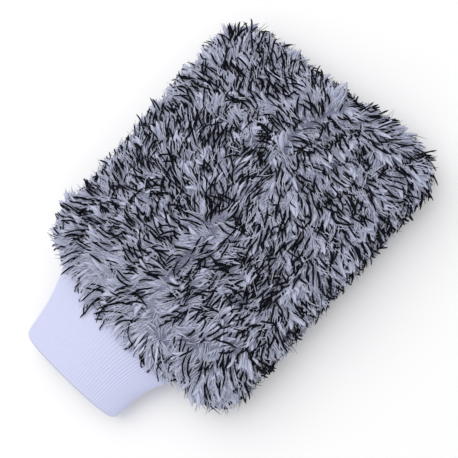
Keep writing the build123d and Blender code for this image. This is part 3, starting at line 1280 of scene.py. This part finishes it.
@dataclass
class Cuff:
    """The folded rib-knit tube at the wrist.

    Attributes:
        wrist_y: the wrist's end.
        mouth: the oval that it is sewn into.
        hinge_z: the height of the line that the cuff turns about.
        droop_limit: how far it can hang, as an angle.
        stations: places along it, as shares of the way from the mouth to the wrist.
        half_widths, half_heights, middles: its oval at those places, and the oval's middle.
        ribs, rib_samples, rib_depth: the ribs round it, the points in each and their height.
        inner_relief: how strongly the ribs show on the inner ply, the other way round.
        wall: from the outside of the outer ply to the inside of the inner one.
        corner: the radius of the wrist's corners.
        skew: how far the wrist's edge slants, for each metre across.
        shift: how far the wrist is to the far side.
        tuck: how far the cuff goes into the body.
        root_slant: how far the root is cut back where it would meet the body at full droop.
        root_ease: how far past the mouth that cut fades out.
        slack, slack_waves, slack_rate: how far the cloth waves in and out, how many times round
            the wrist, and how fast along it.
        crowding: below 1, the outer rows crowd towards the wrist.
        table_gap: the least height of any point.
        outer_rows, fold_rows, inner_rows: the grid.
    """

    wrist_y: float
    mouth: Mouth
    hinge_z: float
    droop_limit: float
    stations: tuple[float, ...] = (0.0, 0.17, 0.33, 0.53, 0.77, 1.0)
    half_widths: tuple[float, ...] = (61.5, 58.0, 53.5, 50.2, 47.8, 46.3)
    half_heights: tuple[float, ...] = (8.4, 8.5, 8.7, 8.9, 9.0, 9.0)
    middles: tuple[float, ...] = (17.0, 16.0, 14.9, 13.2, 11.3, 9.6)
    ribs: int = 124
    rib_samples: int = 6
    rib_depth: float = 0.11 * MM
    inner_relief: float = -0.6
    wall: float = 2.6 * MM
    corner: float = 5.0 * MM
    skew: float = 0.087
    shift: float = -1.5 * MM
    tuck: float = 6.0 * MM
    root_slant: float = 6.2 * MM
    root_ease: float = 8 * MM
    slack: float = 0.35 * MM
    slack_waves: int = 3
    slack_rate: float = 90.0
    crowding: float = 0.9
    table_gap: float = 0.3 * MM
    outer_rows: int = 64
    fold_rows: int = 9
    inner_rows: int = 30

    def outer_length(self) -> float:
        """From the root to the wrist's end along the outer ply."""
        return self.mouth.y + self.tuck - self.wrist_y

    def section(self, y: Array) -> tuple[Array, Array, Array]:
        """Half width, half height and middle height at each y.

        Each is a fourth-degree curve fitted to its values at the stations, given in millimetres.

        Args:
            y: places along the cuff.

        Returns:
            The three sizes, in metres.
        """
        along = (self.mouth.y - y) / (self.mouth.y - self.wrist_y)
        fits = [np.polynomial.Polynomial.fit(self.stations, np.array(values) * MM, 4)
                for values in (self.half_widths, self.half_heights, self.middles)]
        return tuple(fit(np.clip(along, -0.1, 1.0)) for fit in fits)

    def rounding(self, y: Array) -> Array:
        """How far the sides come in at the wrist's corners: a quarter circle in plan.

        Args:
            y: places along the cuff.

        Returns:
            How far each side comes in there.
        """
        near = np.clip(1.0 - (y - self.wrist_y) / self.corner, 0.0, 1.0)
        return self.corner * (1.0 - np.sqrt(1.0 - near**2))

    def build(self, material: bpy.types.Material) -> bpy.types.Object:
        """The outer ply, the fold and the inner ply as one grid.

        A row is an oval round the wrist. Ribs raise the outside by a cosine of the angle times
        the number of ribs. The rows run along the outer ply to the wrist, round the fold in half
        a turn, and back along the inner ply to the mouth.

        Args:
            material: the finish.

        Returns:
            The finished piece.
        """
        columns = self.ribs * self.rib_samples
        angle = np.arange(columns) / columns * 2 * math.pi
        root = self.mouth.y + self.tuck
        fold = self.wall / 2
        wrist = self.wrist_y + fold
        outer_y = root + (wrist - root) * np.linspace(0, 1, self.outer_rows) ** self.crowding
        inner_y = np.linspace(wrist, root, self.inner_rows)
        turn = np.linspace(0, math.pi, self.fold_rows + 2)[1:-1]
        y = np.concatenate([outer_y, wrist - fold * np.sin(turn), inner_y])
        inset = np.concatenate([np.zeros(self.outer_rows), fold * (1 - np.cos(turn)),
                                np.full(self.inner_rows, self.wall)])
        half_width, half_height, middle = self.section(y)
        rows = len(y)
        crest = np.cos(angle * self.ribs)
        fade = np.where(inset > fold, self.inner_relief, 1.0)
        relief = self.rib_depth * crest[None] * fade[:, None]
        w = (half_width - inset - self.rounding(y))[:, None] + relief
        h = (half_height - inset)[:, None] + relief
        round_it, along_it = np.sin(self.slack_waves * angle), np.sin(y * self.slack_rate)
        slack = self.slack * round_it[None] * along_it[:, None]
        to_wrist = smoothstep(self.mouth.y, self.wrist_y, y)[:, None]
        x = self.mouth.x + self.shift * to_wrist + (w + slack) * np.cos(angle)[None]
        z = middle[:, None] + (h + slack) * np.sin(angle)[None]
        slant = np.clip((self.hinge_z - z) * math.tan(self.droop_limit), 0, self.root_slant)
        at_root = smoothstep(self.mouth.y - self.root_ease, root, y)[:, None]
        skewed = self.skew * to_wrist * (x - self.mouth.x)
        yy = y[:, None] - at_root * (self.root_slant - slant) + skewed
        points = np.stack([x, yy, np.maximum(z, self.table_gap)], -1).reshape(-1, 3)
        faces = grid_faces(rows, columns, True)
        length = np.concatenate([[0.0], np.cumsum(np.hypot(np.diff(y), np.diff(inset)))])
        rib = angle / (2 * math.pi) * self.ribs
        row, column = faces // columns, faces % columns
        across = rib[column]
        across[:, 1:3] = np.where(column[:, 1:3] == 0, float(self.ribs), across[:, 1:3])
        uvs = np.stack([across, length[row]], -1)
        piece = make_mesh("folded_rib_cuff", points, [faces[:, ::-1]], [uvs[:, ::-1]], "knit")
        piece.data.materials.append(material)
        log.info("%s: %d ribs, %d rows", piece.name, self.ribs, rows)
        return piece


# ---------------------------------------------------------------- how the pile lies


COMBED = (
    Stroke(-71 * MM, 117 * MM, 131.0),
    Stroke(10 * MM, 125 * MM, 151.0),
    Stroke(45 * MM, 120 * MM, 145.0),
    Stroke(73 * MM, 106 * MM, 131.0),
    Stroke(-88 * MM, 72 * MM, 200.0),
    Stroke(-1 * MM, 89 * MM, 5.0),
    Stroke(72 * MM, 77 * MM, 15.0),
    Stroke(-55 * MM, 46 * MM, 131.0),
    Stroke(-2 * MM, 57 * MM, 95.0),
    Stroke(62 * MM, 50 * MM, 131.0),
    Stroke(-39 * MM, 13 * MM, 172.0),
    Stroke(-88 * MM, 8 * MM, 110.0),
    Stroke(-7 * MM, 9 * MM, 150.0),
    Stroke(77 * MM, 19 * MM, 116.0),
    Stroke(49 * MM, -18 * MM, 61.0),
    Stroke(0.0, -18 * MM, 41.0),
    Stroke(-16 * MM, -34 * MM, 131.0),
    Stroke(-58 * MM, -50 * MM, 191.0),
    Stroke(52 * MM, -42 * MM, 90.0),
    Stroke(88 * MM, -30 * MM, 95.0),
    Stroke(-3 * MM, -64 * MM, 200.0),
    Stroke(-38 * MM, -78 * MM, 221.0),
    Stroke(16 * MM, -80 * MM, 221.0),
    Stroke(66 * MM, -84 * MM, 326.0),
)
ROSETTES = (
    Rosette(36 * MM, -68 * MM, 9 * MM),
    Rosette(-12 * MM, -72 * MM, 7 * MM),
    Rosette(82 * MM, 84 * MM, 8 * MM),
    Rosette(-8 * MM, 66 * MM, 6 * MM),
)


# ---------------------------------------------------------------- the sorts of strand


# Each finish is darker at the root than along its body: painted shade deep in the pile.
LOCK = StrandFinish("brushed_microfibre_lock", "#9C9FB4", "#AEB2C7", "#B8BCD2", "#C5C9E0")
FRINGE = StrandFinish("loose_microfibre_fringe", "#AEB2C7", "#BBBFD4", "#C4C8DE", "#D2D6EC")
LIGHT = StrandFinish("light_microfibre", "#A7AABF", "#B6BACF", "#BFC3DA", "#CED2E8")
DARK = StrandFinish("black_polyester_filament", "#08090D", "#0A0B10", "#0E0F16", "#161821",
                    roughness=0.8, sheen=0.0, gloss=0.06)
# Near-white fibres on top of the pile, which also stand in for thin streaks of highlight: partly real
# pale fibre, partly painted highlight.
PALE = StrandFinish("white_microfibre", "#A9ACC2", "#C6C9DC", "#D4D7E8", "#DEE1F0")
KINDS = (
    StrandKind("lock_pile", LOCK, 2.5 * MM, (9 * MM, 14 * MM), (2.4 * MM, 4.2 * MM), 0.28, 5, 4,
               raised=-0.3 * MM, lift=0.34, end_lift=-0.16, curl=0.4, wave=0.5 * MM, stray=0.22,
               blunt=0.38, ridge=0.10),
    StrandKind("light_pile", LIGHT, 3.25 * MM, (7 * MM, 13 * MM), (0.6 * MM, 1.15 * MM), 0.6, 3, 4,
               raised=0.9 * MM, lift=0.38, end_lift=-0.04, curl=0.45, wave=0.5 * MM, stray=0.22,
               bunch=(2, 5), gap=1.3 * MM, blunt=0.5),
    StrandKind("dark_pile", DARK, 4.5 * MM, (7 * MM, 14 * MM), (1.0 * MM, 1.45 * MM), 0.8, 4, 6,
               raised=1.7 * MM, lift=0.42, end_lift=0.0, curl=0.5, wave=0.6 * MM, stray=0.24,
               bunch=(1, 2), gap=2.9 * MM, patchy=0.5, shy=0.7, blunt=0.15, even=True),
    StrandKind("pale_pile", PALE, 9.5 * MM, (5 * MM, 9 * MM), (0.5 * MM, 0.8 * MM), 0.8, 3, 5,
               raised=2.4 * MM, lift=0.35, end_lift=0.05, curl=0.4, wave=0.4 * MM, stray=0.4,
               bunch=(1, 2), gap=1.4 * MM, blunt=0.5),
    StrandKind("mouth_locks", FRINGE, 2.0 * MM, (9 * MM, 15 * MM), (1.8 * MM, 3.2 * MM), 0.28, 5, 6,
               raised=0.3 * MM, lift=0.30, end_lift=-0.35, curl=0.3, wave=0.8 * MM, stray=0.22,
               blunt=0.4, ridge=0.10, bend=0.3, zone=Zone.MOUTH),
    StrandKind("mouth_fluff", FRINGE, 2.4 * MM, (9 * MM, 17 * MM), (0.6 * MM, 0.95 * MM), 0.6, 3, 7,
               raised=1.0 * MM, lift=0.40, end_lift=-0.30, curl=0.35, wave=0.8 * MM, stray=0.25,
               bunch=(1, 3), gap=1.3 * MM, blunt=0.7, bend=0.3, zone=Zone.MOUTH),
    StrandKind("mouth_threads", DARK, 5.2 * MM, (12 * MM, 20 * MM), (1.0 * MM, 1.35 * MM), 0.8, 4, 9,
               raised=2.6 * MM, lift=0.50, end_lift=-0.40, curl=0.35, wave=0.8 * MM, stray=0.16,
               even=True, blunt=0.15, bend=0.7, zone=Zone.MOUTH),
    StrandKind("edge_hairs", DARK, 4.0 * MM, (7 * MM, 15 * MM), (0.35 * MM, 0.7 * MM), 0.8, 3, 7,
               raised=0.5 * MM, lift=0.35, end_lift=0.05, curl=0.9, wave=1.0 * MM, stray=0.5,
               bunch=(1, 4), gap=1.4 * MM, blunt=0.6, zone=Zone.EDGE),
)


# ---------------------------------------------------------------- the stage


@dataclass(frozen=True)
class Lamp:
    """A soft square light that looks at the mitt."""

    name: str
    place: tuple[float, float, float]
    size: float
    power: float

    def build(self, centre: Vector) -> None:
        """Hang the light and turn it to the centre.

        Args:
            centre: the point that it looks at.
        """
        light = bpy.data.lights.new(self.name, "AREA")
        light.size = self.size
        light.energy = self.power
        lamp = bpy.data.objects.new(self.name, light)
        bpy.context.scene.collection.objects.link(lamp)
        lamp.location = self.place
        lamp.rotation_euler = (centre - Vector(self.place)).to_track_quat("-Z", "Y").to_euler()


@dataclass(frozen=True)
class Stage:
    """A pale floor, soft studio light from the left and a camera above the near side.

    Attributes:
        floor_size: the floor's side.
        floor_drop: how far the floor is below the mitt.
        sky: the strength of the even light from all round.
        lamps: the soft lights.
        tilt: how far the camera leans off straight down, to the mitt's near side, in degrees.
        turn: how far the mitt's length is turned under the camera, in degrees.
        roll: how far the camera turns about its own view, in degrees.
        distance: from the camera to the point it looks at.
        aim_right, aim_up: that point's place in the view, from the mitt's centre.
        lens, sensor: the camera's focal length and sensor width, in millimetres.
    """

    floor_size: float = 6.0
    floor_drop: float = 0.5 * MM
    sky: float = 0.72
    lamps: tuple[Lamp, ...] = (
        Lamp("key_light", (-0.55, 0.10, 0.95), 1.3, 6.5),
        Lamp("fill_light", (0.7, -0.5, 0.9), 1.2, 2.5),
    )
    tilt: float = 20.6
    turn: float = 1.43
    roll: float = 49.6
    distance: float = 0.40
    aim_right: float = 20.1 * MM
    aim_up: float = 1.1 * MM
    lens: float = 45.8
    sensor: float = 36.0

    def build(self, centre: Vector) -> None:
        """Lay the floor, light it and set the camera.

        Args:
            centre: the mitt's middle.
        """
        bpy.ops.mesh.primitive_plane_add(size=self.floor_size, location=(0.0, 0.0, -self.floor_drop))
        floor = bpy.context.object
        floor.name = "floor"
        material, _, shader = new_finish("floor_paper")
        shader.inputs["Base Color"].default_value = srgb("#F6F6F7")
        shader.inputs["Roughness"].default_value = 0.9
        floor.data.materials.append(material)
        floor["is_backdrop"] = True

        world = bpy.data.worlds.new("studio")
        bpy.context.scene.world = world
        world.use_nodes = True
        background = world.node_tree.nodes["Background"]
        background.inputs[0].default_value = srgb("#FFFFFF")
        background.inputs[1].default_value = self.sky
        for lamp in self.lamps:
            lamp.build(centre)
        self.place_camera(centre)
        bpy.context.scene.view_settings.view_transform = "Standard"

    def place_camera(self, centre: Vector) -> None:
        """Set the camera by its own three axes.

        Its view leans from straight down by tilt. Its right and up are the mitt's length and
        the direction across it, turned about the view by roll.

        Args:
            centre: the mitt's middle.
        """
        tilt, roll = math.radians(self.tilt), math.radians(self.roll)
        turn = Matrix.Rotation(math.radians(self.turn), 3, "Z")
        back = turn @ Vector((math.sin(tilt), 0.0, math.cos(tilt)))
        length_way = turn @ Vector((0.0, 1.0, 0.0))
        cross_way = turn @ Vector((math.cos(tilt), 0.0, -math.sin(tilt)))
        right = length_way * math.cos(roll) + cross_way * math.sin(roll)
        up = length_way * math.sin(roll) - cross_way * math.cos(roll)
        place = centre + right * self.aim_right + up * self.aim_up + back * self.distance
        camera = bpy.data.objects.new("camera", bpy.data.cameras.new("camera"))
        bpy.context.scene.collection.objects.link(camera)
        camera.matrix_world = Matrix((
            (right.x, up.x, back.x, place.x),
            (right.y, up.y, back.y, place.y),
            (right.z, up.z, back.z, place.z),
            (0.0, 0.0, 0.0, 1.0),
        ))
        camera.data.lens = self.lens
        camera.data.sensor_width = self.sensor
        camera.data.clip_start = 0.01
        bpy.context.scene.camera = camera


# ---------------------------------------------------------------- the whole mitt


@dataclass
class Mitt:
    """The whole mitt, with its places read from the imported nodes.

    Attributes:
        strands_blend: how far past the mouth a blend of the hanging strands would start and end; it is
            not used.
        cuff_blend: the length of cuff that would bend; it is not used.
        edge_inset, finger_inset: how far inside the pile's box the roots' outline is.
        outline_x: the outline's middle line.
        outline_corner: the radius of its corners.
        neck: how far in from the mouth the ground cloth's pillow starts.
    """

    strands_blend: tuple[float, float] = (2 * MM, 20 * MM)
    cuff_blend: float = 18 * MM
    edge_inset: float = 9.7 * MM
    finger_inset: float = 6.5 * MM
    outline_x: float = 2.3 * MM
    outline_corner: float = 24 * MM
    neck: float = 8 * MM

    def __post_init__(self) -> None:
        """Read the nodes' boxes and the hinge."""
        pile_low, pile_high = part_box("top_pile")
        _, self.cloth_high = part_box("top_ground_cloth")
        cuff_low, cuff_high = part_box("rib_cuff")
        hinge = next(j for j in frame["joints"] if j["name"] == "cuff_fold")
        _, mouth_y, self.hinge_z = hinge["pos_m"]
        self.droop = math.radians(-hinge["range_deg"][0])
        self.seam_z = pile_low.z
        self.wrist_y = cuff_low.y
        self.mouth = Mouth((cuff_low.x + cuff_high.x) / 2, mouth_y, self.seam_z,
                           (cuff_high.x - cuff_low.x) / 2, self.hinge_z - self.seam_z)
        self.outline = Outline(self.outline_x, pile_high.x - self.edge_inset, mouth_y,
                               pile_high.y - self.finger_inset, self.outline_corner)
        self.plush = Plush(self.outline, self.mouth, COMBED, ROSETTES)

    def dress_plush(self) -> None:
        """Make both cores and grow the strands on them."""
        # Both core colours are darker than the strands: painted shade of the pile's depth.
        core_finish = PileCoreFinish("microfibre_depth", "#6E7184", "#8A8DA2").build()
        finishes = {finish: finish.build() for finish in (LOCK, FRINGE, LIGHT, DARK, PALE)}
        layers = (
            Layer(Side.TOP, "top", 16.5 * MM, 14 * MM, self.seam_z - 14 * MM),
            Layer(Side.BOTTOM, "bottom", self.seam_z - 4.0 * MM, 9 * MM, 0.6 * MM),
        )
        for layer in layers:
            core = Core(layer.side, self.outline, self.mouth, self.seam_z, layer.crest, layer.rim,
                        self.cloth_high.x, self.mouth.y + self.neck, self.cloth_high.y)
            piece = core.build(f"{layer.name}_pile_depth", core_finish)
            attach(piece, Body.MITT.value)
            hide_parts(f"{layer.name}_pile")
            points, rows = core.surface()
            if layer.side is Side.BOTTOM:
                points = points.reshape(rows, -1, 3)[:, ::-1].reshape(-1, 3)
            for number, kind in enumerate(KINDS):
                if kind.zone is Zone.MOUTH and layer.side is Side.BOTTOM:
                    continue
                seed = SEED + 10 * number + layer.side.value
                for strand_piece in self.plush.grow(kind, layer, (points, rows), core.columns,
                                                    finishes[kind.finish], seed):
                    self.attach(strand_piece)

    def attach(self, strand_piece: bpy.types.Object) -> None:
        """Hold a piece of strands to the mitt. The one nearest the wrist is held to no body; its place is
        applied to its mesh.

        Args:
            strand_piece: a piece with its place in its name.
        """
        if strand_piece.name.endswith("_1"):
            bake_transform(strand_piece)
        else:
            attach(strand_piece, Body.MITT.value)

    def dress_cuff(self) -> bpy.types.Object:
        """Make the cuff.

        Returns:
            The cuff's piece.
        """
        cuff = Cuff(self.wrist_y, self.mouth, self.hinge_z, self.droop)
        cuff_piece = cuff.build(RibKnitFinish(fold=cuff.outer_length()).build())
        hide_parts("rib_cuff")
        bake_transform(cuff_piece)
        return cuff_piece

    def dress_hidden(self) -> None:
        """Give the cloths, the linings and the threads their finishes."""
        cloth = ClothFinish("knitted_backing", "#C9CAD2", "#8F909C", 0.9 * MM).build()
        lining = ClothFinish("brushed_polyester_lining", "#B9BCC8", "#8B8E9C", 0.7 * MM).build()
        thread = ClothFinish("spun_polyester_thread", "#D2D4E2", "#9C9FB4", 0.5 * MM).build()
        dress = {
            "top_ground_cloth": cloth, "bottom_ground_cloth": cloth,
            "top_lining": lining, "bottom_lining": lining,
            "side_seam_thread": thread, "lining_seam_thread": thread,
            "cuff_seam_thread": thread, "cuff_closing_seam_thread": thread,
        }
        for node, material in dress.items():
            node_object = frame["nodes"][node]
            node_object.data.materials.clear()
            node_object.data.materials.append(material)
            log.info("%s: %s", node, material.name)


def main() -> None:
    """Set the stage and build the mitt's pieces in order."""
    cad_low, cad_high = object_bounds()
    Stage().build((cad_low + cad_high) / 2)
    mitt = Mitt()
    mitt.dress_plush()
    cuff_piece = mitt.dress_cuff()
    mitt.dress_hidden()

    bpy.context.view_layer.update()


if __name__ == "__main__":
    main()
